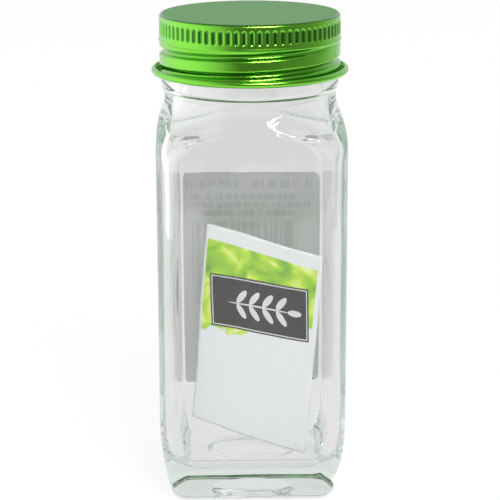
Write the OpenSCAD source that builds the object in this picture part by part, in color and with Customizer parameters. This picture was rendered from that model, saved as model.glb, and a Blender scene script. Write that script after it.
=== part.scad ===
// Square glass spice jar with a screwed aluminium cap.
// The origin is under the middle of the base, and the mouth is up, along +Z.
// The front face looks along -Y. The paper label is on the back face, at +Y.

/* [Jar body] */
// Width of the square body over its flat faces
body_w = 45; // [44:0.1:47]
// Height at which the straight sides end and the shoulder starts
body_h = 86; // [80:1:140]
// Radius of the upright corners
corner_r = 5.8; // [4:0.1:7]
// Thickness of the side walls
wall_t = 2.6; // [1.8:0.1:3.2]
// Radius of the upright corners inside
cavity_corner_r = 4; // [2:0.1:6]
// Thickness of the base at its rim
base_t = 8; // [5:0.25:10]
// Rise of the middle of the floor
floor_rise = 0.9; // [0.4:0.1:1.5]
// Height over which the outside is drawn in to the base
heel_h = 21; // [16:0.5:24]
// Height over which the inside is drawn in to the floor
cavity_heel_h = 11; // [8:0.5:14]
// Radius of the long sweep that draws the sides in
heel_sweep_r = 70; // [60:1:90]
// Radius of the sweep that draws the corners in
corner_heel_r = 50; // [40:1:80]
// Radius of the sweep that draws the inside in
cavity_heel_r = 29; // [26:0.5:60]
// Radius of the sweep that draws the corners in inside
cavity_corner_heel_r = 18; // [14:0.5:40]
// Radius where the sides turn under the base
heel_r = 2.6; // [1.5:0.1:4]
// Radius where the walls meet the floor
floor_r = 4; // [2:0.1:5]
// Diameter of the push-up under the base
push_up_d = 20; // [12:0.5:26]
// Depth of the push-up
push_up_h = 1.8; // [0.8:0.1:3]

/* [Shoulder and neck] */
// Height of the shoulder, from the straight sides to the waist of the neck
shoulder_h = 11.4; // [11:0.1:16]
// Width of the neck at its waist, as a share of the body's width
waist_share = 0.9244; // [0.91:0.0001:0.93]
// Radius of the sweep from the corners up into the neck
neck_sweep_r = 7; // [5.5:0.1:8]
// Radius over the top of each corner
corner_top_r = 2.6; // [1.5:0.1:3]
// Radius over the top of each corner inside
cavity_top_r = 2; // [1:0.1:3]
// Thickness of the wall between the mouth and the root of the thread
finish_t = 2.4; // [2:0.1:4]
// Height of the waist, up to the bead
waist_h = 1; // [0.6:0.1:2]
// How far the bead under the cap stands out from the waist
bead_step = 0.5; // [0.3:0.05:0.6]
// Height of the bead
bead_h = 4.2; // [3.4:0.1:4.3]
// Radius of the bead's lower edge
bead_low_r = 1.6; // [1:0.1:2]
// Radius of the bead's upper edge
bead_top_r = 0.8; // [0.4:0.1:1.2]
// Height of the finish, from the bead to the lip
finish_h = 12.8; // [12.6:0.1:16]
// How far the root of the thread lies in from the waist
finish_step = 0.8; // [0.6:0.05:1]
// Radius of the lip's edges
lip_r = 0.8; // [0.4:0.1:1]

/* [Threads] */
// Rise of one turn of both threads
pitch = 4.233; // [3.9:0.001:4.5]
// Height of the glass thread over its root
thread_h = 1.2; // [0.8:0.05:1.3]
// Width of the glass thread at its root
thread_w = 2.3; // [1.6:0.05:2.4]
// Turn of the glass thread, in degrees
thread_turn_angle = 400; // [360:10:410]
// Gap between the glass thread and the groove that bears under it
thread_gap = 0.3; // [0.2:0.05:0.4]
// Depth of the groove rolled into the skirt
groove_depth = 1.15; // [0.9:0.05:1.2]
// Width of the groove at the face of the skirt
groove_w = 2.3; // [1.6:0.05:2.4]
// Turn of the groove, in degrees
groove_turn_angle = 450; // [360:10:470]
// Height of the groove's lower end over the cap's edge
groove_rise = 2; // [1.9:0.1:2.4]

/* [Cap] */
// Thickness of the cap's metal
cap_t = 0.3; // [0.2:0.01:0.35]
// Height of the cap
cap_h = 14.3; // [14.1:0.05:14.9]
// Gap between the finish of the glass and the knurled band
band_gap = 1.05; // [0.9:0.05:1.2]
// Height of the knurled band, from the top
band_h = 5.3; // [5:0.05:5.6]
// Gap between the glass thread and the threaded skirt
skirt_gap = 0.35; // [0.3:0.01:0.6]
// Height of the slope from the band out to the skirt
flare_h = 0.8; // [0.4:0.1:1.2]
// Radius of the cap's top edge
cap_edge_r = 0.8; // [0.5:0.05:1]
// Radius of the curl along the cap's lower edge
curl_r = 0.8; // [0.7:0.05:1]
// Width of the curl, from the inside of the skirt
curl_w = 2.07; // [1.9:0.01:2.4]
// Number of flutes in the knurled band
flute_count = 76; // [40:1:80]
// Depth of each flute
flute_depth = 0.28; // [0.15:0.01:0.3]
// Width of each flute
flute_w = 1.2; // [0.8:0.05:1.4]
// Height of each flute
flute_h = 3.5; // [2.5:0.1:3.8]
// Plain height over the flutes
flute_drop = 1.4; // [1:0.1:2]

/* [Liner] */
// Thickness of the liner
liner_t = 1; // [0.6:0.05:1.4]
// Gap around the liner
liner_gap = 0.3; // [0.15:0.05:0.6]

/* [Label and card] */
// Width of the label, measured across the back
label_w = 39; // [24:0.5:40]
// Height of the label
label_h = 56; // [30:1:60]
// Height of the label's lower edge over the base
label_rise = 17; // [16:0.5:20]
// Radius of the label's corners
label_corner_r = 2.5; // [1:0.1:4]
// Thickness of the label
label_t = 0.15; // [0.1:0.01:0.3]
// Width of the loose card
card_w = 34; // [20:0.5:35]
// Height of the loose card
card_h = 52; // [30:1:60]
// Thickness of the loose card
card_t = 0.35; // [0.25:0.05:0.6]
// Bow of the loose card, each way from flat
card_bow = 0.35; // [0:0.05:0.6]

/* [Hidden] */
$fn = 96;
// How far a cutting shape runs past what it cuts
overrun = 1;

// Half widths of the body and of the space inside, and how far their corners reach
body_half = body_w / 2;
cavity_half = body_half - wall_t;
reach_margin = 0.1;
body_reach = (body_half - corner_r) * sqrt(2) + corner_r + reach_margin;
cavity_reach = (cavity_half - cavity_corner_r) * sqrt(2) + cavity_corner_r + reach_margin;
// The flat faces are drawn in a little less than the neck, so the neck is fully round
face_margin = 0.3;
// The space inside sweeps up into the mouth round the same centre as the outside
waist_r = waist_share * body_half;
bead_r = waist_r + bead_step;
finish_r = waist_r - finish_step;
mouth_r = finish_r - finish_t;
cavity_sweep_r = neck_sweep_r + waist_r - mouth_r;

// Heights over the base
waist_z = body_h + shoulder_h;
bead_z = waist_z + waist_h;
bead_top_z = bead_z + bead_h;
lip_z = bead_top_z + finish_h;
top_z = lip_z + liner_t + cap_t;
cap_z = top_z - cap_h;

// Radii of the cap, and the centres of the two bends of its curl
band_inner_r = finish_r + band_gap;
band_r = band_inner_r + cap_t + flute_depth;
skirt_inner_r = finish_r + thread_h + skirt_gap;
skirt_r = skirt_inner_r + cap_t;
curl_in_x = skirt_inner_r + curl_r;
curl_out_x = skirt_inner_r + curl_w - curl_r;
curl_z = cap_z + curl_r;
// The curl stops short of the skirt at this angle, counted from straight outwards
curl_end_angle = 100;
// Radius of the round bottom of a flute
flute_r = (pow(flute_w / 2, 2) + pow(flute_depth, 2)) / (2 * flute_depth);

// The glass thread starts at the front and the groove a little before it
thread_start_angle = -90;
groove_lead_angle = 30;
groove_start_angle = thread_start_angle - groove_lead_angle;
groove_z = cap_z + groove_rise;
// The groove's back bears under the glass thread where the two overlap in radius
engaged = max(0, finish_r + thread_h - skirt_inner_r + groove_depth);
thread_bearing_share = acos(1 - engaged / (2 * thread_h)) / 90;
groove_bearing_share = acos(1 - engaged / (2 * groove_depth)) / 90;
thread_seat = thread_bearing_share * thread_w / 2
  + groove_bearing_share * (groove_w + cap_t) / 2 + thread_gap;
thread_z = groove_z + pitch * groove_lead_angle / 360 + thread_seat;
// Angle between two rings of a thread, and angle over which it fades out at its ends
step_angle = 8;
fade_angle = 40;
// Faces across a thread, how far its flanks run on into the wall, and how deep its foot is
face_count = 6;
bite_depth = 0.1;
foot_depth = 0.5;

// Where the loose card stands: its place in plan, how it is turned and how it slants
card_x = 1.1;
card_y = -2;
card_turn_angle = -35;
card_slant_angle = 6;
card_gap = 0.3;
card_face_count = 24;

// Turns a length and an angle into a point in plan
function polar(r, a) = [r * cos(a), r * sin(a)];

// A square in plan with round corners, centred on the origin
module round_square(half, r) {
  square([2 * (half - r), 2 * half], center = true);
  square([2 * half, 2 * (half - r)], center = true);
  for (x = [-1, 1], y = [-1, 1])
    translate([x * (half - r), y * (half - r)])
      circle(r);
}

// The inner side of two sweeps that touch the upright lines at plus and minus half at z,
// cut off at the heights low and high
module between_sweeps(half, sweep_r, z, low, high) {
  centre_x = half - sweep_r;
  far_x = min(centre_x, 0) - half;
  intersection() {
    translate([-half, low])
      square([2 * half, high - low]);
    for_side(1, centre_x, far_x, sweep_r, z, low, high);
    for_side(-1, centre_x, far_x, sweep_r, z, low, high);
  }
}

// Everything to one side of a sweep, out to far_x
module for_side(side, centre_x, far_x, sweep_r, z, low, high) {
  translate([side * centre_x, z])
    circle(sweep_r, $fn = 360);
  if (centre_x > 0)
    polygon([
      [side * centre_x, low],
      [side * centre_x, high],
      [side * far_x, high],
      [side * far_x, low]
    ]);
}

// Outline that is swept in from half at heel_z to a rounded edge at low_z
module drawn_in(half, low_z, heel_z, sweep_r, edge_r) {
  centre_x = half - sweep_r;
  edge_x = centre_x + sqrt(pow(sweep_r - edge_r, 2) - pow(heel_z - low_z - edge_r, 2));
  edge_angle = atan2(low_z + edge_r - heel_z, edge_x - centre_x);
  difference() {
    between_sweeps(half, sweep_r, heel_z, low_z, heel_z);
    for (side = [-1, 1])
      translate([side * edge_x, low_z + edge_r])
        polygon([
          for (p = [[0, 0], polar(half, edge_angle), polar(2 * half, -45), [0, -half]])
            [side * p[0], p[1]]
        ]);
  }
  for (side = [-1, 1])
    translate([side * edge_x, low_z + edge_r])
      circle(edge_r);
}

// One pair of flat faces seen from the side: straight from heel_z to body_h, swept in
// below it to a rounded edge at low_z, and swept in above it to the half width top_half
module face_outline(half, low_z, heel_z, sweep_r, edge_r, top_half) {
  draw = half - top_half;
  shoulder_sweep_r = (pow(shoulder_h, 2) + pow(draw, 2)) / (2 * draw);
  translate([-half, heel_z])
    square([2 * half, body_h - heel_z]);
  between_sweeps(half, shoulder_sweep_r, body_h, body_h, waist_z);
  translate([-half, waist_z])
    square([2 * half, lip_z + overrun - waist_z]);
  drawn_in(half, low_z, heel_z, sweep_r, edge_r);
}

// Turned outline of the corners: out from the rounded edge at low_z to reach, over the
// top and up the sweep to the neck
module corner_outline(reach, top_r, sweep_r, neck_r, low_z, heel_z, heel_sweep, edge_r) {
  sweep_x = neck_r + sweep_r;
  top_x = reach - top_r;
  top_drop = sqrt(pow(sweep_r + top_r, 2) - pow(sweep_x - top_x, 2));
  meet_share = sweep_r / (sweep_r + top_r);
  meet_x = sweep_x + (top_x - sweep_x) * meet_share;
  translate([0, heel_z])
    square([reach, waist_z - top_drop - heel_z]);
  intersection() {
    drawn_in(reach, low_z, heel_z, heel_sweep, edge_r);
    translate([0, low_z])
      square([reach, heel_z - low_z]);
  }
  translate([top_x, waist_z - top_drop])
    circle(top_r);
  difference() {
    translate([0, low_z])
      square([meet_x, waist_z - low_z]);
    translate([sweep_x, waist_z])
      circle(sweep_r);
  }
}

// A solid with four flat faces, round corners and a turned neck above them
module squared_form(half, r, low_z, heel_z, sweep_r, edge_r, top_half) {
  intersection() {
    face_pair(half, low_z, heel_z, sweep_r, edge_r, top_half, 0);
    face_pair(half, low_z, heel_z, sweep_r, edge_r, top_half, 90);
    linear_extrude(lip_z + overrun)
      round_square(half, r);
    rotate_extrude()
      children();
  }
}

// One pair of faces, carried through the body and turned about the upright axis
module face_pair(half, low_z, heel_z, sweep_r, edge_r, top_half, turn) {
  rotate([90, 0, turn])
    linear_extrude(2 * body_w, center = true)
      face_outline(half, low_z, heel_z, sweep_r, edge_r, top_half);
}

// Turned outline of the outside of the jar, from the base to the lip
module glass_outline() {
  corner_outline(body_reach, corner_top_r, neck_sweep_r, waist_r, 0, heel_h, corner_heel_r,
                 heel_r);
  square([waist_r, bead_z + bead_low_r]);
  translate([0, bead_z + bead_low_r])
    square([bead_r, bead_h - bead_low_r - bead_top_r]);
  square([bead_r - bead_top_r, bead_top_z]);
  translate([bead_r - bead_low_r, bead_z + bead_low_r])
    circle(bead_low_r);
  translate([bead_r - bead_top_r, bead_top_z - bead_top_r])
    circle(bead_top_r);
  square([finish_r, lip_z - lip_r]);
  square([finish_r - lip_r, lip_z]);
  translate([finish_r - lip_r, lip_z - lip_r])
    circle(lip_r);
}

// Turned outline of the space inside, from the floor out through the mouth
module cavity_outline() {
  corner_outline(cavity_reach, cavity_top_r, cavity_sweep_r, mouth_r, base_t,
                 base_t + cavity_heel_h, cavity_corner_heel_r, floor_r);
  translate([0, base_t])
    square([mouth_r, lip_z + overrun - base_t]);
  difference() {
    translate([0, lip_z - lip_r])
      square([mouth_r + lip_r, lip_r + overrun]);
    translate([mouth_r + lip_r, lip_z - lip_r])
      circle(lip_r);
  }
}

// The low dome that the floor rises to over the push-up
module floor_dome() {
  dome_half = cavity_half - floor_r;
  dome_r = (pow(dome_half, 2) + pow(floor_rise, 2)) / (2 * floor_rise);
  rotate_extrude()
    intersection() {
      translate([0, base_t + floor_rise - dome_r])
        circle(dome_r, $fn = 720);
      translate([0, base_t - overrun])
        square([dome_half, floor_rise + 2 * overrun]);
    }
}

// A helical ridge of rounded section, of this width where it leaves the wall at wall_r.
// It peaks at peak_r and its foot is at foot_r, behind the wall. It climbs one pitch a
// turn and sinks behind the wall at both ends.
module helical_ridge(wall_r, peak_r, foot_r, width, low_z, start, turn) {
  rings = ceil(turn / step_angle);
  corners = face_count + 3;
  spring_r = wall_r + sign(wall_r - peak_r) * bite_depth;
  wall_share = acos(bite_depth / abs(peak_r - spring_r)) / 90;
  half_width = width / 2 / wall_share;
  points = [
    for (i = [0:rings])
      let (
        swept = turn * i / rings,
        near_end = min(swept, turn - swept) / fade_angle,
        depth_share = sin(90 * min(1, near_end)),
        z = low_z + pitch * swept / 360,
        section = [
          for (k = [0:face_count])
            let (u = 2 * k / face_count - 1)
              [spring_r + (peak_r - spring_r) * depth_share * cos(90 * u), z + u * half_width],
          [foot_r, z + half_width],
          [foot_r, z - half_width]
        ]
      )
        for (p = section)
          [p[0] * cos(start + swept), p[0] * sin(start + swept), p[1]]
  ];
  sides = [
    for (i = [0:rings - 1], k = [0:corners - 1])
      let (
        a = i * corners + k,
        b = i * corners + (k + 1) % corners
      )
        each [[a, b, b + corners], [a, b + corners, a + corners]]
  ];
  first = [for (k = [corners - 1:-1:0]) k];
  last = [for (k = [0:corners - 1]) rings * corners + k];
  outward = concat(sides, [first, last]);
  inward = [for (face = outward) [for (k = [len(face) - 1:-1:0]) face[k]]];
  polyhedron(points, peak_r > foot_r ? outward : inward, convexity = 10);
}

// The jar is blown in one piece, with its thread
module glass_jar() {
  color([0.84, 0.92, 0.89, 0.4]) {
    difference() {
      squared_form(body_half, corner_r, 0, heel_h, heel_sweep_r, heel_r, waist_r + face_margin)
        glass_outline();
      difference() {
        squared_form(cavity_half, cavity_corner_r, base_t, base_t + cavity_heel_h,
                     cavity_heel_r, floor_r, mouth_r + face_margin)
          cavity_outline();
        floor_dome();
      }
      translate([0, 0, -overrun])
        cylinder(h = push_up_h + overrun, d = push_up_d);
    }
    helical_ridge(finish_r, finish_r + thread_h, finish_r - foot_depth, thread_w,
                  thread_z, thread_start_angle, thread_turn_angle);
  }
}

// Turned section of the cap's metal: top, knurled band, slope and skirt
module cap_section() {
  band_z = top_z - band_h;
  difference() {
    union() {
      polygon([
        [0, curl_z],
        [skirt_r, curl_z],
        [skirt_r, band_z - flare_h],
        [band_r, band_z],
        [band_r, top_z - cap_edge_r],
        [band_r - cap_edge_r, top_z - cap_edge_r],
        [band_r - cap_edge_r, top_z],
        [0, top_z]
      ]);
      translate([band_r - cap_edge_r, top_z - cap_edge_r])
        circle(cap_edge_r);
    }
    polygon([
      [0, curl_z - overrun],
      [skirt_inner_r, curl_z - overrun],
      [skirt_inner_r, band_z - flare_h],
      [band_inner_r, band_z],
      [band_inner_r, top_z - cap_t],
      [0, top_z - cap_t]
    ]);
  }
}

// Section of the curl: the metal runs out under the skirt and up round, and stops open
module curl_section() {
  difference() {
    curl_outline(curl_r);
    curl_outline(curl_r - cap_t);
    translate([curl_out_x, curl_z])
      polygon([
        [0, 0],
        polar(2 * curl_r, curl_end_angle),
        [-2 * curl_w, 2 * curl_r],
        [-2 * curl_w, 0]
      ]);
  }
}

// Flat-bottomed outline of the curl, with a bend of radius r at either side
module curl_outline(r) {
  for (x = [curl_in_x, curl_out_x])
    translate([x, curl_z])
      circle(r);
  translate([curl_in_x, curl_z - r])
    square([curl_out_x - curl_in_x, 2 * r]);
}

// One upright flute with round ends, a little outside the band
module flute() {
  translate([band_r - flute_depth + flute_r, 0, 0]) {
    cylinder(h = flute_h - flute_w, r = flute_r, $fn = 24);
    sphere(flute_r, $fn = 24);
    translate([0, 0, flute_h - flute_w])
      sphere(flute_r, $fn = 24);
  }
}

// The cap is pressed and rolled from thin metal, and its thread is a rolled groove
module screw_cap() {
  color([0.36, 0.7, 0.25])
    difference() {
      union() {
        rotate_extrude()
          cap_section();
        rotate_extrude()
          curl_section();
        helical_ridge(skirt_inner_r, skirt_inner_r - groove_depth, skirt_r - cap_t / 2,
                      groove_w + cap_t, groove_z, groove_start_angle, groove_turn_angle);
      }
      helical_ridge(skirt_r, skirt_r - groove_depth, skirt_r + 2 * bite_depth, groove_w, groove_z,
                    groove_start_angle, groove_turn_angle);
      for (i = [0:flute_count - 1])
        rotate([0, 0, 360 * i / flute_count])
          translate([0, 0, top_z - flute_drop - flute_h + flute_w / 2])
            flute();
    }
}

// The liner is a disc of white board and film that seals on the lip
module cap_liner() {
  color([0.95, 0.95, 0.93])
    translate([0, 0, lip_z])
      cylinder(h = liner_t, r = band_inner_r - liner_gap);
}

// The paper label follows the back of the jar and bends a little round its corners
module back_label() {
  color([0.93, 0.93, 0.92])
    intersection() {
      linear_extrude(body_h)
        difference() {
          round_square(body_half + label_t, corner_r + label_t);
          round_square(body_half, corner_r);
        }
      translate([0, body_w, label_rise + label_h / 2])
        rotate([90, 0, 0])
          linear_extrude(body_w)
            label_outline();
    }
}

// Outline of the label, flat, with round corners
module label_outline() {
  square([label_w - 2 * label_corner_r, label_h], center = true);
  square([label_w, label_h - 2 * label_corner_r], center = true);
  for (x = [-1, 1], y = [-1, 1])
    translate([x * (label_w / 2 - label_corner_r), y * (label_h / 2 - label_corner_r)])
      circle(label_corner_r);
}

// The card stands loose in the jar, turned and slanting, on its lower right corner
module insert_card() {
  lift = card_w / 2 * sin(card_slant_angle) + card_h / 2 * cos(card_slant_angle);
  outline = [for (i = [0:card_face_count]) let (s = i / card_face_count) [s, card_bow * sin(360 * s)]];
  front = [for (p = outline) [(p[0] - 0.5) * card_w, p[1] - card_t / 2]];
  back = [for (i = [card_face_count:-1:0]) [(outline[i][0] - 0.5) * card_w, outline[i][1] + card_t / 2]];
  color([0.94, 0.95, 0.95])
    translate([card_x, card_y, base_t + card_gap + lift])
      rotate([0, card_slant_angle, card_turn_angle])
        linear_extrude(card_h, center = true)
          polygon(concat(front, back));
}

glass_jar();
screw_cap();
cap_liner();
back_label();
insert_card();
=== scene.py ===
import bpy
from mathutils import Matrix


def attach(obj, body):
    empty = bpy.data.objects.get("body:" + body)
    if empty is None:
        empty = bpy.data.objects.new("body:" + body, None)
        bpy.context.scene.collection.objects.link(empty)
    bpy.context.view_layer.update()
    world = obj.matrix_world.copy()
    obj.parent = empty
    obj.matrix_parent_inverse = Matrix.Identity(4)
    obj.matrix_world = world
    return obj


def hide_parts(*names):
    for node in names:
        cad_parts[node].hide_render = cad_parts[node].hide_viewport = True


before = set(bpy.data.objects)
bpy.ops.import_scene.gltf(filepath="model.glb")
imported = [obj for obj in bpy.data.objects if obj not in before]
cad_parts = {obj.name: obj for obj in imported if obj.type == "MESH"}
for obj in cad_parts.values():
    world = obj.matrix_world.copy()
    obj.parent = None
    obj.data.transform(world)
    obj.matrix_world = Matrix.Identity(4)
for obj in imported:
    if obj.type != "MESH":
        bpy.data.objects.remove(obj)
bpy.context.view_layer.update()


# ---- The view of the jar ----
# A long lens stands 45 centimetres in front of the jar, a little to its left, and looks
# down at it by 15 degrees. It is level but for a fifth of a degree.
import math

import bpy
import numpy as np
from mathutils import Matrix, Vector

lens_reach = 0.4477
lens_height = 0.17927
lens_aside = math.radians(1.3)
lens_down = math.radians(15.14)
lens_tilt = math.radians(-0.22)
lens_turn = math.radians(0.021)

lens = bpy.data.cameras.new("lens")
lens.sensor_width = 36.0
lens.lens = 135.9
lens.clip_start = 0.01
lens.clip_end = 20.0
camera = bpy.data.objects.new("camera", lens)
camera.matrix_world = (
    Matrix.Translation((-lens_reach * math.sin(lens_aside),
                        -lens_reach * math.cos(lens_aside), lens_height))
    @ Matrix.Rotation(lens_turn - lens_aside, 4, "Z")
    @ Matrix.Rotation(math.pi / 2 - lens_down, 4, "X")
    @ Matrix.Rotation(lens_tilt, 4, "Z")
)
bpy.context.scene.collection.objects.link(camera)
bpy.context.scene.camera = camera


# ---- The glass jar ----
# A square jar of clear soda-lime glass, blown in a two-part mould in one piece with its
# screw thread. The walls are thin, the base is thick, and the inside is a little wavy
# because only the outside touched the mould.

# Sizes are in millimetres, and heights are from the table. The walls and the base:
around_glass = 320
body_half = 22.5
body_top = 86.0
body_corner = 5.8
inside_half = 19.9
inside_corner = 4.0
floor_top = 8.0
floor_crown = 0.9
recess_radius = 10.0
recess_depth = 1.8
recess_sag = 0.25
recess_soft = 0.9
recess_rim = 0.65

# A heel, outside and inside: the foot's height, the height where the straight side starts,
# the radius of the long sweep between them and that of the edge. Its corners have three
# radii: at the straight side, over the foot and on the flat.
heel_top = 21.0
outer_heel = (0.0, heel_top, 70.0, 2.6)
foot_corners = (5.8, 4.4, 2.4)
inside_heel_top = 19.0
inner_heel = (floor_top, inside_heel_top, 29.0, 6.2)
floor_corners = (4.0, 5.5, 1.0)

# The shoulder: four faces that draw in, and corners that turn over into a hollow sweep. The
# edges between them are rounded more and more as they rise.
waist_radius = 20.8
waist_top = 97.4
waist_end = 98.1
outer_turn = 5.5
inner_turn = 6.0
neck_sweep = 7.0
turn_spare = 0.1
face_spare = 0.3
least_soft = 0.3
outer_soft = 1.0
inner_soft = 2.0
soft_rise = 3.0
inside_lift = 1.3
wave_fade = 8.0

# The bead under the cap, the bore, and the finish with the heights of its rings
mouth_radius = 17.6
bore_heights = (112.0, 109.0, 106.0, 103.0, 101.2, 100.0)
bead_radius = 21.3
bead_low, bead_under = 98.4, 1.6
bead_high, bead_over = 102.6, 0.8
finish_radius = 20.0
finish_heights = (102.75, *np.arange(103.1, 114.5, 0.28))
lip_top = 115.4
lip_round = 0.8

# The thread: its pitch, the degrees in which it fades in and out, where it starts, how
# many degrees it runs, how high its start lies, and half its width
thread_pitch = 4.233
thread_fade = 40
glass_thread = (-90, 400, 106.38, 1.212)
thread_height = 1.3
thread_sunk = 0.1


def square_reach(angles, half, corner):
    """Reach of a square with round corners in each direction."""
    a = np.abs((angles + np.pi / 4) % (np.pi / 2) - np.pi / 4)
    centre = half - corner
    middle = centre * (np.cos(a) + np.sin(a))
    arc = middle + np.sqrt(np.maximum(middle ** 2 - 2 * centre ** 2 + corner ** 2, 0))
    return np.where(half * np.tan(a) <= centre, half / np.cos(a), arc)


def soft_least(a, b, soft):
    """The lesser of two reaches, with the edge between them rounded."""
    near = np.maximum(soft - np.abs(a - b), 0) / soft
    return np.minimum(a, b) - near * near * soft / 4


def arc_points(x, z, radius, start, end, count):
    """Points on an arc of the outline, from one angle in degrees to another."""
    turns = np.radians(np.linspace(start, end, count))
    return [(x + radius * math.cos(t), z + radius * math.sin(t)) for t in turns]


def drawn_in(height, half, heel):
    """Half width at a height over the foot, where the sides sweep in and turn under."""
    low, top, sweep, edge = heel
    if height >= top:
        return half
    centre = half - sweep
    edge_x = centre + math.sqrt((sweep - edge) ** 2 - (top - low - edge) ** 2)
    turn = math.atan2(low + edge - top, edge_x - centre)
    if height >= low + edge + edge * math.sin(turn):
        return centre + math.sqrt(sweep ** 2 - (top - height) ** 2)
    return edge_x + math.sqrt(max(edge ** 2 - (low + edge - height) ** 2, 0))


def heel_reach(angles, height, half, corners, heel):
    """Reach of the drawn in sides at a height, in each direction."""
    low, top, _, edge = heel
    side = drawn_in(height, half, heel)
    share = min(max((height - low) / (top - low), 0), 1)
    corner = corners[1] + (corners[0] - corners[1]) * share
    if height < low + edge:
        turned = (drawn_in(low + edge, half, heel) - side) / edge
        corner += (corners[2] - corners[1]) * turned
    return square_reach(angles, side, corner)


def heel_heights(heel, count):
    """Heights that lie close together round the edge of the foot."""
    low, top, _, edge = heel
    rounded = [low + edge - edge * math.cos(math.pi / 2 * k / count) for k in range(count)]
    swept = [low + edge + (top - low - edge) * (k / count) ** 1.2 for k in range(count)]
    return rounded + swept


def face_half(height, half, top_half):
    """Half width over two opposite faces at a height on the shoulder."""
    draw = half - top_half
    sweep = ((waist_top - body_top) ** 2 + draw ** 2) / (2 * draw)
    up = max(min(height, waist_top) - body_top, 0)
    return half - sweep + math.sqrt(sweep ** 2 - up ** 2)


def past_corner(half, corner):
    """Reach just past the corners of a square with round corners."""
    return (half - corner) * math.sqrt(2) + corner + turn_spare


def turn_heights(reach, top_radius, sweep, neck):
    """Heights where the outline over the corners starts to turn, and where it passes into
    the hollow sweep."""
    drop = math.sqrt((sweep + top_radius) ** 2 - (neck + sweep - reach + top_radius) ** 2)
    return waist_top - drop, waist_top - drop * sweep / (sweep + top_radius)


def turned_reach(height, reach, top_radius, sweep, neck):
    """Reach over the corners at a height, up to the neck."""
    start, meet = turn_heights(reach, top_radius, sweep, neck)
    if height < meet:
        return reach - top_radius + math.sqrt(top_radius ** 2 - max(height - start, 0) ** 2)
    return neck + sweep - math.sqrt(sweep ** 2 - min(height - waist_top, 0) ** 2)


def shoulder_heights(start, meet, count):
    """Heights that lie close together where the shoulder is nearly level."""
    rise = np.linspace(0, 1, count)
    over = start + (meet - start) * np.sin(rise * np.pi / 2)
    hollow = waist_top - (waist_top - meet) * np.cos(rise * np.pi / 2)
    return sorted(set(np.round(np.concatenate([over, hollow[1:]]), 4)))


def shoulder_soft(height, start, most):
    """How wide the edge between face and corner is rounded at a height."""
    return least_soft + most * min(max(height - start, 0) / soft_rise, 1)


def thread_turn(angles, height, turn, start, length, low, half_width):
    """One turn of a thread at a height: its profile all round, 1 on the crest and faded at
    the thread's ends, and where it is."""
    swept = (np.degrees(angles) - start) % 360 + 360 * turn
    fade = np.sin(np.radians(
        90 * np.clip(np.minimum(swept, length - swept) / thread_fade, 0, 1)))
    middle = low + thread_pitch * swept / 360
    across = np.clip(np.abs(height - middle) / half_width, 0, 1)
    return fade * np.cos(across * np.pi / 2), (swept <= length) & (across < 1)


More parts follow.
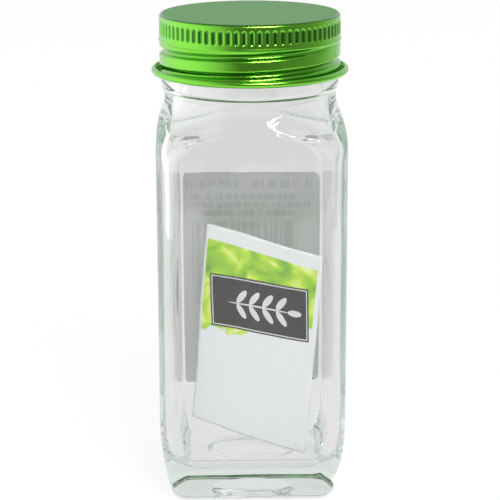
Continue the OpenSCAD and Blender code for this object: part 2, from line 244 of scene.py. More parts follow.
def jar_outline(angles):
    """Reaches and heights of the jar's rings, from under the base up the outside, in at the
    mouth and down to the floor. A reach is one number, or one for each direction."""
    # The round push-up under the base, and the flat foot around it
    outline = [(recess_radius * share, recess_depth - recess_sag * share ** 2)
               for share in (0.25, 0.5, 0.75)]
    outline += arc_points(recess_radius - recess_soft, recess_depth - recess_sag - recess_soft,
                          recess_soft, 90, 0, 8)
    rim = recess_radius + recess_rim
    outline += arc_points(rim, recess_rim, recess_rim, 180, 270, 6)
    foot = heel_reach(angles, 0.0, body_half, foot_corners, outer_heel)
    outline += [(rim + (foot - rim) * share, 0.0) for share in (0.3, 0.65)]
    outline += [(heel_reach(angles, z, body_half, foot_corners, outer_heel), z)
                for z in heel_heights(outer_heel, 14)]

    # The straight sides, and the shoulder with its arched upper edges
    outline += [(square_reach(angles, body_half, body_corner), z)
                for z in np.linspace(heel_top, body_top - 2, 16)]
    over = (past_corner(body_half, body_corner), outer_turn, neck_sweep, waist_radius)
    start, meet = turn_heights(*over)
    for z in [body_top - 1] + shoulder_heights(start, meet, 22):
        side = square_reach(angles, face_half(z, body_half, waist_radius + face_spare),
                            body_corner)
        soft = shoulder_soft(z, start, outer_soft)
        outline.append((soft_least(side, turned_reach(z, *over), soft), z))

    # The neck's waist, the bead under the cap, and the finish with its thread
    outline.append((waist_radius, waist_end))
    outline += arc_points(bead_radius - bead_under, bead_low + bead_under, bead_under,
                          -62, 0, 7)
    outline += arc_points(bead_radius - bead_over, bead_high - bead_over, bead_over, 0, 90, 6)
    for z in finish_heights:
        proud = np.zeros_like(angles)
        for turn in (0, 1):
            profile, there = thread_turn(angles, z, turn, *glass_thread)
            rise = thread_height * profile - thread_sunk
            proud = np.maximum(proud, np.where(there, rise, 0))
        outline.append((finish_radius + proud, z))
    outline += arc_points(finish_radius - lip_round, lip_top - lip_round, lip_round, 0, 90, 7)
    outline += arc_points(mouth_radius + lip_round, lip_top - lip_round, lip_round, 90, 180, 7)

    # Inside: the bore, the shoulder, the walls and the domed floor
    def wave(z):
        return (0.05 * np.sin(2 * angles + 1.1 + z / 19) * math.sin(z / 11 + 0.4)
                + 0.035 * np.sin(3 * angles - 0.7 + z / 15)
                + 0.02 * np.sin(7 * angles + 2.0 - z / 6.5))

    outline += [(mouth_radius, z) for z in bore_heights]
    under = (past_corner(inside_half, inside_corner), inner_turn,
             neck_sweep + waist_radius - mouth_radius, mouth_radius)
    start, meet = turn_heights(*under)
    for unlifted in reversed(shoulder_heights(start, meet, 22)):
        z = unlifted + inside_lift
        side = square_reach(angles, face_half(z, inside_half, mouth_radius + face_spare),
                            inside_corner)
        soft = shoulder_soft(unlifted, start, inner_soft)
        turned = soft_least(side, turned_reach(unlifted, *under), soft)
        fade = min(1.0, max(0.0, (waist_top - z) / wave_fade))
        outline.append((turned + wave(z) * fade, z))
    outline += [(square_reach(angles, inside_half, inside_corner) + wave(z), z)
                for z in np.linspace(min(start, body_top) - 1, inside_heel_top, 26)]
    for z in reversed(heel_heights(inner_heel, 16)):
        edge = heel_reach(angles, z, inside_half, floor_corners, inner_heel)
        fade = min((z - floor_top) / (inside_heel_top - floor_top), 1.0)
        outline.append((edge + wave(z) * fade, z))
    outline += [(edge * share, floor_top + floor_crown * (1 - share ** 2))
                for share in (0.85, 0.7, 0.55, 0.4, 0.25, 0.12)]
    return outline


def loft(name, angles, outline, start, end):
    """Makes one smooth closed mesh of rings of points, from an outline in millimetres and
    the heights of a middle point at its start and its end."""
    count = len(angles)
    points = [tuple(point) for reach, height in outline for point in np.stack(
        [reach * np.cos(angles), reach * np.sin(angles), np.full_like(angles, height)], 1)]
    faces = []
    for i in range(len(outline) - 1):
        a, b = i * count, (i + 1) * count
        for k in range(count):
            n = (k + 1) % count
            faces.append((a + k, a + n, b + n, b + k))
    points.append((0, 0, start))
    faces += [((k + 1) % count, k, len(points) - 1) for k in range(count)]
    points.append((0, 0, end))
    last = (len(outline) - 1) * count
    faces += [(last + k, last + (k + 1) % count, len(points) - 1) for k in range(count)]
    mesh = bpy.data.meshes.new(name)
    mesh.from_pydata([(x * 0.001, y * 0.001, z * 0.001) for x, y, z in points], [], faces)
    mesh.polygons.foreach_set("use_smooth", [True] * len(faces))
    mesh.update()
    piece = bpy.data.objects.new(name, mesh)
    bpy.context.scene.collection.objects.link(piece)
    return piece


def dye(code):
    """Linear colour of an sRGB hex value."""
    parts = [int(code[i:i + 2], 16) / 255 for i in (1, 3, 5)]
    return [p / 12.92 if p <= 0.04045 else ((p + 0.055) / 1.055) ** 2.4 for p in parts] + [1.0]


def add_node(material, kind, settings=None, inputs=None):
    """Adds a node with its settings, its plain values and its links."""
    node = material.node_tree.nodes.new(kind)
    for name, value in (settings or {}).items():
        setattr(node, name, value)
    for name, value in (inputs or {}).items():
        if isinstance(value, bpy.types.NodeSocket):
            material.node_tree.links.new(value, node.inputs[name])
        else:
            node.inputs[name].default_value = value
    return node


def empty_material(name):
    """A material with nothing in it."""
    material = bpy.data.materials.new(name)
    material.use_nodes = True
    material.node_tree.nodes.clear()
    return material


# Clear soda-lime glass, blown: no colour of its own through a wall, pale green along an
# edge, and slow waves, 16 mm long, that bend what stands behind it. Its skin has an orange
# peel of 2 mm and is a little dulled by handling, in patches of 30 mm.
glass = empty_material("soda_lime_glass_blown")
place = add_node(glass, "ShaderNodeTexCoord")
slow_waves = add_node(glass, "ShaderNodeTexNoise", None, {
    "Vector": place.outputs["Object"], "Scale": 1 / 0.016, "Detail": 1.0, "Roughness": 0.4})
orange_peel = add_node(glass, "ShaderNodeTexNoise", None, {
    "Vector": place.outputs["Object"], "Scale": 1 / 0.0022, "Detail": 2.0, "Roughness": 0.5})
wave_bump = add_node(glass, "ShaderNodeBump", None, {
    "Strength": 0.25, "Distance": 0.001, "Height": slow_waves.outputs["Fac"]})
skin_bump = add_node(glass, "ShaderNodeBump", None, {
    "Strength": 0.02, "Distance": 0.0002, "Height": orange_peel.outputs["Fac"],
    "Normal": wave_bump.outputs["Normal"]})
handling = add_node(glass, "ShaderNodeTexNoise", None, {
    "Vector": place.outputs["Object"], "Scale": 1 / 0.03, "Detail": 4.0, "Roughness": 0.6})
film = add_node(glass, "ShaderNodeMapRange", None, {
    "Value": handling.outputs["Fac"], "From Min": 0.45, "From Max": 0.8,
    "To Min": 0.0, "To Max": 0.03})
glass_surface = add_node(glass, "ShaderNodeBsdfPrincipled", None, {
    "Base Color": dye("#ffffff"), "Roughness": film.outputs["Result"], "IOR": 1.52,
    "Transmission Weight": 1.0, "Normal": skin_bump.outputs["Normal"]})
glass_depth = add_node(glass, "ShaderNodeVolumeAbsorption", None, {
    "Color": dye("#c4ead1"), "Density": 7.0})
add_node(glass, "ShaderNodeOutputMaterial", None, {
    "Surface": glass_surface.outputs["BSDF"], "Volume": glass_depth.outputs["Volume"]})

glass_angles = np.linspace(0, 2 * np.pi, around_glass, endpoint=False)
jar = loft("jar_glass", glass_angles, jar_outline(glass_angles), recess_depth,
           floor_top + floor_crown)
jar.data.materials.append(glass)
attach(jar, "jar")
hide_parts("glass_jar")


# ---- The label on the back ----
# A white paper sticker with round corners, stuck on the outside of the back face and
# rolled down a little round its corners. The printing shows faintly through the paper.
label_half = 19.5
label_low = 17.0
label_high = 73.0
label_round = 2.5
label_gap = 0.03
label_paper = 0.11
label_across, label_up = 56, 64


def wrapped_place(along, off):
    """Point of the back of the jar at a distance along it from its middle."""
    flat = body_half - body_corner
    side = math.copysign(1.0, along)
    past = max(abs(along) - flat, 0.0) / (body_corner + off)
    x = side * (min(abs(along), flat) + (body_corner + off) * math.sin(past))
    y = flat + (body_corner + off) * math.cos(past)
    return x, y


def label_points():
    """Points of the sticker's two sides, and the place of each on the flat paper."""
    points, places = [], []
    for off in (label_gap, label_gap + label_paper):
        for j in range(label_up + 1):
            z = label_low + (label_high - label_low) * j / label_up
            edge = max(label_low + label_round - z, z - label_high + label_round, 0.0)
            half = label_half - label_round + math.sqrt(max(label_round ** 2 - edge ** 2, 0))
            for i in range(label_across + 1):
                along = half * (2 * i / label_across - 1)
                x, y = wrapped_place(along, off)
                y -= body_half - drawn_in(z, body_half, outer_heel)
                points.append((x * 0.001, y * 0.001, z * 0.001))
                places.append((along * 0.001, z * 0.001))
    return points, places


def sheet_piece(name, across, up, points, places):
    """A thin sheet, from the points of its two sides in rows, with a rim between them and
    a flat place in metres for each point."""
    row = across + 1
    layer = row * (up + 1)
    faces = []
    for j in range(up):
        for i in range(across):
            a = j * row + i
            faces.append((a, a + 1, a + row + 1, a + row))
            faces.append((layer + a, layer + a + row, layer + a + row + 1, layer + a + 1))
    rim = ([i for i in range(across)] + [j * row + across for j in range(up)]
           + [up * row + i for i in range(across, 0, -1)] + [j * row for j in range(up, 0, -1)])
    for a, b in zip(rim, rim[1:] + rim[:1]):
        faces.append((a, layer + a, layer + b, b))
    mesh = bpy.data.meshes.new(name)
    mesh.from_pydata(points, [], faces)
    mesh.polygons.foreach_set("use_smooth", [True] * len(faces))
    spread = mesh.uv_layers.new(name="flat_place")
    for loop in mesh.loops:
        spread.data[loop.index].uv = places[loop.vertex_index]
    mesh.update()
    piece = bpy.data.objects.new(name, mesh)
    bpy.context.scene.collection.objects.link(piece)
    return piece


# Coated label paper, printed in black: bright outside, with rows of plain strokes over a
# block of bars, and slightly mottled behind, where the printing shows through. Its fibres
# clump at 0.7 mm, and the mottle is 9 mm wide.
paper = empty_material("label_paper_printed")
place = add_node(paper, "ShaderNodeUVMap", {"uv_map": "flat_place"})
spot = add_node(paper, "ShaderNodeSeparateXYZ", None, {"Vector": place.outputs["UV"]})


def within(material, spot, left, right, low, high):
    """One inside a rectangle on the sheet, in metres, and nought outside it."""
    inside = 1.0
    for axis, operation, limit in (("X", "GREATER_THAN", left), ("X", "LESS_THAN", right),
                                   ("Y", "GREATER_THAN", low), ("Y", "LESS_THAN", high)):
        test = add_node(material, "ShaderNodeMath", {"operation": operation},
                        {0: spot.outputs[axis], 1: limit})
        inside = add_node(material, "ShaderNodeMath", {"operation": "MULTIPLY"},
                          {0: inside, 1: test.outputs[0]}).outputs[0]
    return inside


def strokes(low, high, half, width, fill, seed):
    """A row of plain upright strokes of uneven spacing on the label."""
    cell = add_node(paper, "ShaderNodeMath", {"operation": "SNAP"},
                    {0: spot.outputs["X"], 1: width})
    shifted = add_node(paper, "ShaderNodeMath", {"operation": "ADD"},
                       {0: cell.outputs[0], 1: seed})
    draw = add_node(paper, "ShaderNodeTexWhiteNoise", {"noise_dimensions": "1D"},
                    {"W": shifted.outputs[0]})
    inked = add_node(paper, "ShaderNodeMath", {"operation": "LESS_THAN"},
                     {0: draw.outputs["Value"], 1: fill})
    return add_node(paper, "ShaderNodeMath", {"operation": "MULTIPLY"}, {
        0: inked.outputs[0], 1: within(paper, spot, -half, half, low, high)}).outputs[0]


# Each row: its lower and upper edge, half its length, the width of a stroke, the share of
# the row that is inked, and a seed
printed = 0.0
for row in (
        (0.0690, 0.0712, 0.0165, 0.0005, 0.62, 3.1), (0.0660, 0.0674, 0.0150, 0.0004, 0.6, 5.7),
        (0.0638, 0.0652, 0.0160, 0.0004, 0.58, 9.2), (0.0616, 0.0630, 0.0120, 0.0004, 0.6, 12.4),
        (0.0380, 0.0600, 0.0150, 0.00045, 0.5, 20.5)):
    printed = add_node(paper, "ShaderNodeMath", {"operation": "MAXIMUM"},
                       {0: printed, 1: strokes(*row)}).outputs[0]
fibre = add_node(paper, "ShaderNodeTexNoise", None, {
    "Vector": place.outputs["UV"], "Scale": 1 / 0.0007, "Detail": 3.0, "Roughness": 0.6})
mottle = add_node(paper, "ShaderNodeTexNoise", None, {
    "Vector": place.outputs["UV"], "Scale": 1 / 0.009, "Detail": 2.0, "Roughness": 0.5})
facing = add_node(paper, "ShaderNodeNewGeometry")
outward = add_node(paper, "ShaderNodeSeparateXYZ", None, {
    "Vector": facing.outputs["True Normal"]})
is_outside = add_node(paper, "ShaderNodeMath", {"operation": "GREATER_THAN"},
                    {0: outward.outputs["Y"], 1: 0.0})
sheet_tone = add_node(paper, "ShaderNodeMix", {"data_type": "RGBA"}, {
    0: mottle.outputs["Fac"], 6: dye("#fbfdfc"), 7: dye("#ffffff")})
show_through = add_node(paper, "ShaderNodeMath", {"operation": "MULTIPLY"},
                        {0: printed, 1: 0.16})
back_tone = add_node(paper, "ShaderNodeMix", {"data_type": "RGBA"}, {
    0: show_through.outputs[0], 6: sheet_tone.outputs[2], 7: dye("#868c8e")})
outer_tone = add_node(paper, "ShaderNodeMix", {"data_type": "RGBA"}, {
    0: printed, 6: dye("#eeeeec"), 7: dye("#26282a")})
paper_tone = add_node(paper, "ShaderNodeMix", {"data_type": "RGBA"}, {
    0: is_outside.outputs[0], 6: back_tone.outputs[2], 7: outer_tone.outputs[2]})
paper_bump = add_node(paper, "ShaderNodeBump", None, {
    "Strength": 0.2, "Distance": 0.0001, "Height": fibre.outputs["Fac"]})
paper_surface = add_node(paper, "ShaderNodeBsdfPrincipled", None, {
    "Base Color": paper_tone.outputs[2], "Roughness": 0.7, "IOR": 1.5,
    "Normal": paper_bump.outputs["Normal"]})
add_node(paper, "ShaderNodeOutputMaterial", None, {"Surface": paper_surface.outputs["BSDF"]})

label = sheet_piece("label_on_back", label_across, label_up, *label_points())
label.data.materials.append(paper)
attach(label, "jar")
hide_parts("back_label")


# ---- The loose card ----
# A stiff card, cut by hand and slipped in through the mouth, so it is a little bowed. It
# leans across the jar on one lower corner. Its upper part is printed on both sides.
card_half_w = 17.0
card_half_h = 26.0
card_thick = 0.35
card_bow = 0.336
card_across, card_up = 48, 72
card_middle = Vector((1.1, -2.0, 35.93))
card_stand = (Matrix.Rotation(math.radians(-35), 3, "Z")
              @ Matrix.Rotation(math.radians(6), 3, "Y"))


def card_points():
    """Points of the card's two sides, with a gentle double bow, and their flat places."""
    points, places = [], []
    for side in (-card_thick / 2, card_thick / 2):
        for j in range(card_up + 1):
            v = 2 * j / card_up - 1
            for i in range(card_across + 1):
                u = 2 * i / card_across - 1
                bow = card_bow * math.sin(math.pi * (u + 1))
                p = card_stand @ Vector((u * card_half_w, bow + side, v * card_half_h))
                points.append(tuple((p + card_middle) * 0.001))
                places.append((u * card_half_w * 0.001, v * card_half_h * 0.001))
    return points, places


# White coated card, offset printed: a soft wash of leaf green at the top, in clouds of
# 7.5 mm, and a dark grey panel with a plain sprig on it. The lower half is bare and white,
# and the coating lies uneven at 0.9 mm.
card_stock = empty_material("coated_card_printed")
place = add_node(card_stock, "ShaderNodeUVMap", {"uv_map": "flat_place"})
spot = add_node(card_stock, "ShaderNodeSeparateXYZ", None, {"Vector": place.outputs["UV"]})
cloud = add_node(card_stock, "ShaderNodeTexNoise", None, {
    "Vector": place.outputs["UV"], "Scale": 1 / 0.0075, "Detail": 2.0, "Roughness": 0.5,
    "Distortion": 0.5})
wash = add_node(card_stock, "ShaderNodeValToRGB", None, {"Fac": cloud.outputs["Fac"]})
wash.color_ramp.elements[0].position = 0.36
wash.color_ramp.elements[0].color = dye("#67ab12")
wash.color_ramp.elements[1].position = 0.66
wash.color_ramp.elements[1].color = dye("#eef8a0")
for position, code in ((0.44, "#92cc14"), (0.52, "#a6da1a"), (0.58, "#c8ea30")):
    stop = wash.color_ramp.elements.new(position)
    stop.color = dye(code)

# The wash has a straight cut top and sides, and a brushed lower edge that runs down on
# the left
slope = add_node(card_stock, "ShaderNodeMath", {"operation": "MULTIPLY_ADD"},
                 {0: spot.outputs["X"], 1: 0.26, 2: 0.001})
brushed = add_node(card_stock, "ShaderNodeMath", {"operation": "MULTIPLY_ADD"},
                   {0: cloud.outputs["Fac"], 1: 0.022, 2: -0.0125})
low_edge = add_node(card_stock, "ShaderNodeMath", {"operation": "SUBTRACT"},
                    {0: slope.outputs[0], 1: brushed.outputs[0]})
over_edge = add_node(card_stock, "ShaderNodeMath", {"operation": "SUBTRACT"},
                     {0: spot.outputs["Y"], 1: low_edge.outputs[0]})
wash_low = add_node(card_stock, "ShaderNodeMapRange", {"interpolation_type": "SMOOTHSTEP"}, {
    "Value": over_edge.outputs[0], "From Min": -0.0012, "From Max": 0.0014})
wash_share = add_node(card_stock, "ShaderNodeMath", {"operation": "MULTIPLY"}, {
    0: wash_low.outputs["Result"],
    1: within(card_stock, spot, -0.0163, 0.0158, -0.02, 0.0224)})

# The panel is set a little askew on the card. It has a fine white line round it, and a
# plain sprig of leaves across it.
panel_place = add_node(card_stock, "ShaderNodeMapping", {"vector_type": "TEXTURE"}, {
    "Vector": place.outputs["UV"], "Location": (0.0002, 0.0087, 0.0),
    "Rotation": (0.0, 0.0, math.radians(6.5))})
panel_spot = add_node(card_stock, "ShaderNodeSeparateXYZ", None, {
    "Vector": panel_place.outputs["Vector"]})
panel, line_outside, line_inside = [
    within(card_stock, panel_spot, -half_x, half_x, -half_y, half_y)
    for half_x, half_y in ((0.0144, 0.0067), (0.0140, 0.0063), (0.01375, 0.00605))]
line = add_node(card_stock, "ShaderNodeMath", {"operation": "SUBTRACT"},
                {0: line_outside, 1: line_inside})

# Each leaf is a narrow ellipse: its place, its tilt and its half length and width. The
# first is the stem, the second ends it, and the others stand along it in pairs.
leaves = [(0.0, 0.0, 0, 0.0095, 0.00022), (0.0105, 0.0, 0, 0.0019, 0.0008)]
leaves += [(x, side * 0.0019, side * 48, 0.0022, 0.00085)
           for x in (-0.0053, -0.0013, 0.0027, 0.0067) for side in (1, -1)]
sprig = line
for x, y, tilt, half_length, half_width in leaves:
    local = add_node(card_stock, "ShaderNodeMapping", {"vector_type": "TEXTURE"}, {
        "Vector": panel_place.outputs["Vector"], "Location": (x, y, 0.0),
        "Rotation": (0.0, 0.0, math.radians(tilt)), "Scale": (half_length, half_width, 1.0)})
    reach = add_node(card_stock, "ShaderNodeVectorMath", {"operation": "LENGTH"},
                     {0: local.outputs["Vector"]})
    leaf = add_node(card_stock, "ShaderNodeMath", {"operation": "LESS_THAN"},
                    {0: reach.outputs["Value"], 1: 1.0})
    sprig = add_node(card_stock, "ShaderNodeMath", {"operation": "MAXIMUM"},
                     {0: sprig.outputs[0], 1: leaf.outputs[0]})
washed = add_node(card_stock, "ShaderNodeMix", {"data_type": "RGBA"}, {
    0: wash_share.outputs[0], 6: dye("#f0f2f4"), 7: wash.outputs["Color"]})
with_panel = add_node(card_stock, "ShaderNodeMix", {"data_type": "RGBA"}, {
    0: panel, 6: washed.outputs[2], 7: dye("#1f2119")})
inked = add_node(card_stock, "ShaderNodeMix", {"data_type": "RGBA"}, {
    0: sprig.outputs[0], 6: with_panel.outputs[2], 7: dye("#e2e4e4")})
coating = add_node(card_stock, "ShaderNodeTexNoise", None, {
    "Vector": place.outputs["UV"], "Scale": 1 / 0.0009, "Detail": 2.0, "Roughness": 0.5})
card_bump = add_node(card_stock, "ShaderNodeBump", None, {
    "Strength": 0.12, "Distance": 0.0001, "Height": coating.outputs["Fac"]})
card_surface = add_node(card_stock, "ShaderNodeBsdfPrincipled", None, {
    "Base Color": inked.outputs[2], "Roughness": 0.5, "IOR": 1.5, "Specular IOR Level": 0.25,
    "Normal": card_bump.outputs["Normal"]})
add_node(card_stock, "ShaderNodeOutputMaterial", None, {
    "Surface": card_surface.outputs["BSDF"]})

card = sheet_piece("card_inside", card_across, card_up, *card_points())
card.data.materials.append(card_stock)
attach(card, "jar")
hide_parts("insert_card")


# ---- The liner ----
# A disc of white foamed board, punched and pressed into the cap, where it seals on the
# glass lip. It rises with the cap, which turns on it.
liner_radius = 20.75
liner_thick = 1.0
liner_edge = 0.2
around_liner = 128


def liner_outline():
    """Reaches and heights of the disc, from its middle below, out round its edge and back."""
    low, high = lip_top, lip_top + liner_thick
    outline = [(x, low) for x in (4.0, 10.0, 16.0, 17.4, 19.0, 20.2)]
    outline += arc_points(liner_radius - liner_edge, low + liner_edge, liner_edge, -90, 0, 4)
    outline += arc_points(liner_radius - liner_edge, high - liner_edge, liner_edge, 0, 90, 4)
    return outline + [(x, high) for x in (18.0, 10.0, 4.0)]


# Foamed polyethylene board, skived: matt white, with closed cells 0.4 mm across.
foam = empty_material("foamed_polyethylene_board_skived")
place = add_node(foam, "ShaderNodeTexCoord")
cells = add_node(foam, "ShaderNodeTexVoronoi", None, {
    "Vector": place.outputs["Object"], "Scale": 1 / 0.0004})
foam_tone = add_node(foam, "ShaderNodeMix", {"data_type": "RGBA"}, {
    0: cells.outputs["Distance"], 6: dye("#e6e7e4"), 7: dye("#f1f1ef")})
foam_bump = add_node(foam, "ShaderNodeBump", None, {
    "Strength": 0.3, "Distance": 0.0001, "Height": cells.outputs["Distance"]})
foam_surface = add_node(foam, "ShaderNodeBsdfPrincipled", None, {
    "Base Color": foam_tone.outputs[2], "Roughness": 0.7, "IOR": 1.5,
    "Normal": foam_bump.outputs["Normal"]})
add_node(foam, "ShaderNodeOutputMaterial", None, {"Surface": foam_surface.outputs["BSDF"]})

liner_angles = np.linspace(0, 2 * np.pi, around_liner, endpoint=False)
liner = loft("liner_disc", liner_angles, liner_outline(), lip_top, lip_top + liner_thick)
liner.data.materials.append(foam)
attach(liner, "liner")
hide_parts("cap_liner")


# ---- The screw cap ----
# A cap drawn from thin aluminium sheet and anodised green. The flutes and the thread are
# rolled into its side, and its lower edge is curled outwards and left open.
around_cap = 760
cap_top = 116.7
cap_metal = 0.3
top_reaches = (3.0, 8.0, 13.0, 17.0, 19.5, 20.6)
top_edge = 0.8
band_radius = 21.63
band_inside = 21.05
band_low = 111.4
skirt_radius = 21.85
skirt_high = 110.6
skirt_low = 103.4
curl_radius = 0.8
curl_middle = (22.35, 103.2)
curl_step = 0.47

# A flute is pressed by a tool with a round nose, whose middle stays outside the band
flute_count = 76
flute_low = 112.4
flute_high = 114.7
flute_nose = 0.783
flute_off = 0.503
flute_soft = 0.06

# The rolled thread: where it starts, the degrees that it runs and the height of its start,
# as in the glass, then half its width from outside and inside, and its groove
rolled_thread = (-185, 515, 103.84)
outside_width = 1.05
inside_width = 1.2
groove_depth = 1.25
groove_lip = 0.1
groove_soft = 0.5


def cap_outline(angles):
    """Reaches and heights of the cap's rings, from the middle of its top, down outside,
    round the curl and up inside."""
    pitch = 2 * np.pi / flute_count
    aside = band_radius * (((angles + pitch / 2) % pitch) - pitch / 2)

    def rolled(wall, z, half_width, soft):
        reach = np.full_like(angles, wall)
        for turn in (0, 1):
            profile, there = thread_turn(angles, z, turn, *rolled_thread, half_width)
            cut = np.where(there, wall + groove_lip - groove_depth * profile, wall)
            reach = soft_least(reach, cut, soft) if soft else np.minimum(reach, cut)
        return reach

    # The top, its rounded edge and the fluted band
    outline = [(x, cap_top) for x in top_reaches]
    outline += arc_points(band_radius - top_edge, cap_top - top_edge, top_edge, 88, 0, 8)
    for z in np.linspace(cap_top - 1.0, band_low, 21):
        apart = max(0.0, flute_low - z, z - flute_high)
        room = np.maximum(flute_nose ** 2 - aside ** 2 - apart ** 2, 0)
        cut = np.where(room > 0, band_radius + flute_off - np.sqrt(room), band_radius)
        outline.append((soft_least(band_radius, cut, flute_soft), z))

    # The slope, the threaded skirt and the open curl
    for z in np.linspace(band_low - 0.2, skirt_high, 3):
        share = (band_low - z) / (band_low - skirt_high)
        outline.append((band_radius + (skirt_radius - band_radius) * share, z))
    outline += [(rolled(skirt_radius, z, outside_width, groove_soft), z)
                for z in np.linspace(skirt_high - 0.2, skirt_low, 29)]
    x, z = curl_middle
    outline += arc_points(x, z, curl_radius - cap_metal, 180, 270, 7)
    outline += arc_points(x + curl_step, z, curl_radius - cap_metal, 270, 460, 11)
    outline += arc_points(x + curl_step, z, curl_radius, 460, 270, 12)
    outline += arc_points(x, z, curl_radius, 270, 180, 8)

    # The inside of the skirt, the band and the top
    outline += [(rolled(skirt_radius - cap_metal, z, inside_width, 0), z)
                for z in np.linspace(skirt_low, skirt_high - 0.1, 15)]
    outline += [(21.3, 111.0), (band_inside, band_low), (band_inside, 114.0)]
    return outline + [(x, cap_top - cap_metal) for x in (band_inside, 20.0, 14.0, 7.0)]


# Anodised aluminium, rolled and dyed green: a clear bright green that stays glossy on the
# side, where it mirrors the light in streaks. The grain of the sheet runs round it. It is
# finer than 0.05 mm, and is drawn 0.18 mm wide to show.
anodised = empty_material("anodised_aluminium_rolled")
place = add_node(anodised, "ShaderNodeTexCoord")
sheet_grain = add_node(anodised, "ShaderNodeMapping", None, {
    "Vector": place.outputs["Object"], "Scale": (1 / 0.0015, 1 / 0.0015, 1 / 0.00018)})
grain = add_node(anodised, "ShaderNodeTexNoise", None, {
    "Vector": sheet_grain.outputs["Vector"], "Scale": 1.0, "Detail": 2.0, "Roughness": 0.5})
grain_gloss = add_node(anodised, "ShaderNodeMapRange", None, {
    "Value": grain.outputs["Fac"], "To Min": 0.17, "To Max": 0.27})
grain_tone = add_node(anodised, "ShaderNodeMix", {"data_type": "RGBA"}, {
    0: grain.outputs["Fac"], 6: dye("#69bf2e"), 7: dye("#74c737")})

# Painted shade: the dye's colour is mixed to a deep green in the flutes, where the outside lies
# in from the band, to stand in for the shade there, where the light is mirrored twice. In the
# thread below the band it gets a third as much painted shade.
level = add_node(anodised, "ShaderNodeVectorMath", {"operation": "MULTIPLY"}, {
    0: place.outputs["Object"], 1: (1.0, 1.0, 0.0)})
reach = add_node(anodised, "ShaderNodeVectorMath", {"operation": "LENGTH"}, {
    0: level.outputs["Vector"]})
painted_shade_recess = add_node(anodised, "ShaderNodeMapRange", {"interpolation_type": "SMOOTHSTEP"}, {
    "Value": reach.outputs["Value"], "From Min": (band_radius - 0.05) * 0.001,
    "From Max": (band_radius - 0.25) * 0.001})
up_cap = add_node(anodised, "ShaderNodeSeparateXYZ", None, {"Vector": place.outputs["Object"]})
painted_shade_weight = add_node(anodised, "ShaderNodeMapRange", None, {
    "Value": up_cap.outputs["Z"], "From Min": (band_low - 0.4) * 0.001,
    "From Max": (band_low + 0.2) * 0.001, "To Min": 0.3, "To Max": 1.0})
painted_shade_share = add_node(anodised, "ShaderNodeMath", {"operation": "MULTIPLY"}, {
    0: painted_shade_recess.outputs["Result"], 1: painted_shade_weight.outputs["Result"]})
# Painted shade, mixed into the dye's colour in the flutes and the thread
tone_with_painted_shade = add_node(anodised, "ShaderNodeMix", {"data_type": "RGBA"}, {
    0: painted_shade_share.outputs[0], 6: grain_tone.outputs[2], 7: dye("#2a7618")})
grain_bump = add_node(anodised, "ShaderNodeBump", None, {
    "Strength": 0.05, "Distance": 0.0001, "Height": grain.outputs["Fac"]})
anodised_surface = add_node(anodised, "ShaderNodeBsdfPrincipled", None, {
    "Base Color": tone_with_painted_shade.outputs[2], "Metallic": 1.0,
    "Roughness": grain_gloss.outputs["Result"], "Coat Weight": 0.4, "Coat Roughness": 0.08,
    "Normal": grain_bump.outputs["Normal"]})
add_node(anodised, "ShaderNodeOutputMaterial", None, {
    "Surface": anodised_surface.outputs["BSDF"]})

# The same sheet, satin finished on the flat top: it spreads the light into one even sheen.
# The etched grit is finer than 0.05 mm, and is drawn at 0.35 mm to show.
satin = empty_material("anodised_aluminium_satin_finished")
place = add_node(satin, "ShaderNodeTexCoord")
satin_grain = add_node(satin, "ShaderNodeTexNoise", None, {
    "Vector": place.outputs["Object"], "Scale": 1 / 0.00035, "Detail": 2.0, "Roughness": 0.6})
satin_gloss = add_node(satin, "ShaderNodeMapRange", None, {
    "Value": satin_grain.outputs["Fac"], "To Min": 0.38, "To Max": 0.5})
satin_tone = add_node(satin, "ShaderNodeMix", {"data_type": "RGBA"}, {
    0: satin_grain.outputs["Fac"], 6: dye("#569b4c"), 7: dye("#60a356")})
satin_bump = add_node(satin, "ShaderNodeBump", None, {
    "Strength": 0.1, "Distance": 0.0001, "Height": satin_grain.outputs["Fac"]})
satin_surface = add_node(satin, "ShaderNodeBsdfPrincipled", None, {
    "Base Color": satin_tone.outputs[2], "Metallic": 1.0,
    "Roughness": satin_gloss.outputs["Result"], "Normal": satin_bump.outputs["Normal"]})
add_node(satin, "ShaderNodeOutputMaterial", None, {"Surface": satin_surface.outputs["BSDF"]})

cap_angles = np.linspace(0, 2 * np.pi, around_cap, endpoint=False)
cap_rings = cap_outline(cap_angles)
cap = loft("cap_aluminium", cap_angles, cap_rings, cap_top, cap_top - cap_metal)
cap.data.flip_normals()
cap.data.materials.append(anodised)
cap.data.materials.append(satin)
middle_faces = (len(cap_rings) - 1) * around_cap
for face in (*range(len(top_reaches) * around_cap),
             *range(middle_faces, middle_faces + around_cap)):
    cap.data.polygons[face].material_index = 1
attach(cap, "cap")
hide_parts("screw_cap")


# ---- The table and the light ----
# A white table that runs far back behind the jar, one long strip lamp high on the right,
# and white paper hung all round it but for the side of the lens.
table_side = 0.3
table_back = 2.0
table_mesh = bpy.data.meshes.new("white_table")
table_mesh.from_pydata([(-table_side, -table_side, 0), (table_side, -table_side, 0),
                        (table_side, table_back, 0), (-table_side, table_back, 0)],
                       [], [(0, 1, 2, 3)])
table = bpy.data.objects.new("white_table", table_mesh)
bpy.context.scene.collection.objects.link(table)


def grey(light):
    """A neutral light of a given strength, where 1 is white."""
    return (light, light, light, 1.0)


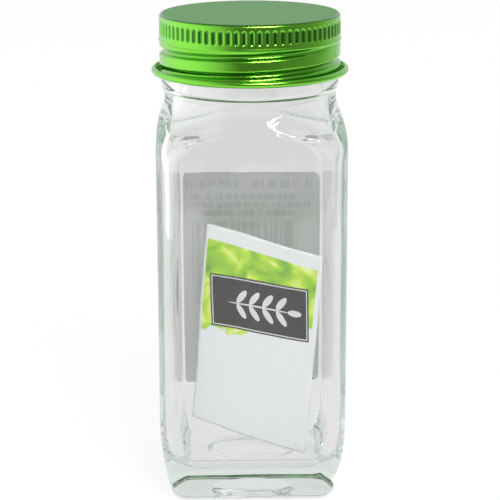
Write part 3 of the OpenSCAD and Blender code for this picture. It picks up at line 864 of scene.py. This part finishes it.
# Matt white laminate: it keeps the jar's soft shadow, and shows nearly white to the lens.
# Glass and metal see a share of that white too, less of it in a mirrored ray.
laminate = empty_material("white_laminate_matt")
rays = add_node(laminate, "ShaderNodeLightPath")
mirrored_share = add_node(laminate, "ShaderNodeMath", {"operation": "MULTIPLY"}, {
    0: rays.outputs["Is Glossy Ray"], 1: 0.3})
bent_share = add_node(laminate, "ShaderNodeMath", {"operation": "MULTIPLY_ADD"}, {
    0: rays.outputs["Is Transmission Ray"], 1: 0.75, 2: mirrored_share.outputs[0]})
seen_share = add_node(laminate, "ShaderNodeMath", {"operation": "MULTIPLY_ADD"}, {
    0: rays.outputs["Is Camera Ray"], 1: 0.84, 2: bent_share.outputs[0]})
shown_tone = add_node(laminate, "ShaderNodeMix", {"data_type": "RGBA"}, {
    0: rays.outputs["Is Transmission Ray"], 6: grey(1.0), 7: grey(0.76)})
laminate_matt = add_node(laminate, "ShaderNodeBsdfDiffuse", None, {"Color": dye("#dcdcdc")})
laminate_glow = add_node(laminate, "ShaderNodeEmission", None, {
    "Color": shown_tone.outputs[2], "Strength": 1.0})
laminate_mix = add_node(laminate, "ShaderNodeMixShader", None, {
    0: seen_share.outputs[0], 1: laminate_matt.outputs["BSDF"],
    2: laminate_glow.outputs["Emission"]})
add_node(laminate, "ShaderNodeOutputMaterial", None, {
    "Surface": laminate_mix.outputs["Shader"]})
table_mesh.materials.append(laminate)

# The lens sees the paper white. Glass and metal see it grey, darkest on the side of the
# lens, which is an unlit room, and metal sees it bright at the far left. That gives their
# edges something dark to show, and the cap its streaks.
sky = bpy.data.worlds.new("paper_sky")
bpy.context.scene.world = sky
sky.use_nodes = True
sky.node_tree.nodes.clear()
rays = add_node(sky, "ShaderNodeLightPath")
outlook = add_node(sky, "ShaderNodeTexCoord")
heading = add_node(sky, "ShaderNodeSeparateXYZ", None, {"Vector": outlook.outputs["Generated"]})
back_share = add_node(sky, "ShaderNodeMapRange", None, {
    "Value": heading.outputs["Y"], "From Min": -1.0, "From Max": 1.0})
tones = add_node(sky, "ShaderNodeValToRGB", None, {"Fac": back_share.outputs["Result"]})
tones.color_ramp.elements[0].position = 0.1
tones.color_ramp.elements[0].color = grey(0.22)
tones.color_ramp.elements[1].position = 0.75
tones.color_ramp.elements[1].color = grey(0.8)
stop = tones.color_ramp.elements.new(0.5)
stop.color = grey(0.45)
left_share = add_node(sky, "ShaderNodeMapRange", None, {
    "Value": heading.outputs["X"], "From Min": -0.3, "From Max": -1.0})
left_glow = add_node(sky, "ShaderNodeMath", {"operation": "MULTIPLY"}, {
    0: left_share.outputs["Result"], 1: rays.outputs["Is Glossy Ray"]})
lit_tones = add_node(sky, "ShaderNodeMix", {"data_type": "RGBA"}, {
    0: left_glow.outputs[0], 6: tones.outputs["Color"], 7: grey(1.6)})

# Matt surfaces are lit by it at about the plain level, more from the front, because the
# glass round the card and the label takes a third of the light
on_matt = add_node(sky, "ShaderNodeMath", {"operation": "GREATER_THAN"}, {
    0: rays.outputs["Diffuse Depth"], 1: 0.5})
front_fill = add_node(sky, "ShaderNodeMapRange", None, {
    "Value": heading.outputs["Y"], "From Min": -1.0, "From Max": 1.0,
    "To Min": 1.55, "To Max": 0.75})
filled_tones = add_node(sky, "ShaderNodeMix", {"data_type": "RGBA"}, {
    0: on_matt.outputs[0], 6: lit_tones.outputs[2], 7: front_fill.outputs["Result"]})
seen_tone = add_node(sky, "ShaderNodeMix", {"data_type": "RGBA"}, {
    0: rays.outputs["Is Camera Ray"], 6: filled_tones.outputs[2], 7: grey(1.0)})
sky_light = add_node(sky, "ShaderNodeBackground", None, {
    "Color": seen_tone.outputs[2], "Strength": 1.0})
add_node(sky, "ShaderNodeOutputWorld", None, {"Surface": sky_light.outputs["Background"]})

strip = bpy.data.lights.new("strip_high_right", "AREA")
strip.energy = 13.0
strip.shape = "RECTANGLE"
strip.size, strip.size_y = 0.6, 0.045
strip_lamp = bpy.data.objects.new("strip_high_right", strip)
strip_lamp.location = (0.27, -0.8, 0.85)
aim = Vector((0, 0, 0.07)) - strip_lamp.location
strip_lamp.rotation_euler = aim.to_track_quat("-Z", "Y").to_euler()
bpy.context.scene.collection.objects.link(strip_lamp)

# Light runs back and forth in thick glass many times before it comes out again
bpy.context.scene.cycles.max_bounces = 32
bpy.context.scene.cycles.glossy_bounces = 32
bpy.context.scene.cycles.transmission_bounces = 32
bpy.context.scene.view_settings.view_transform = "Standard"
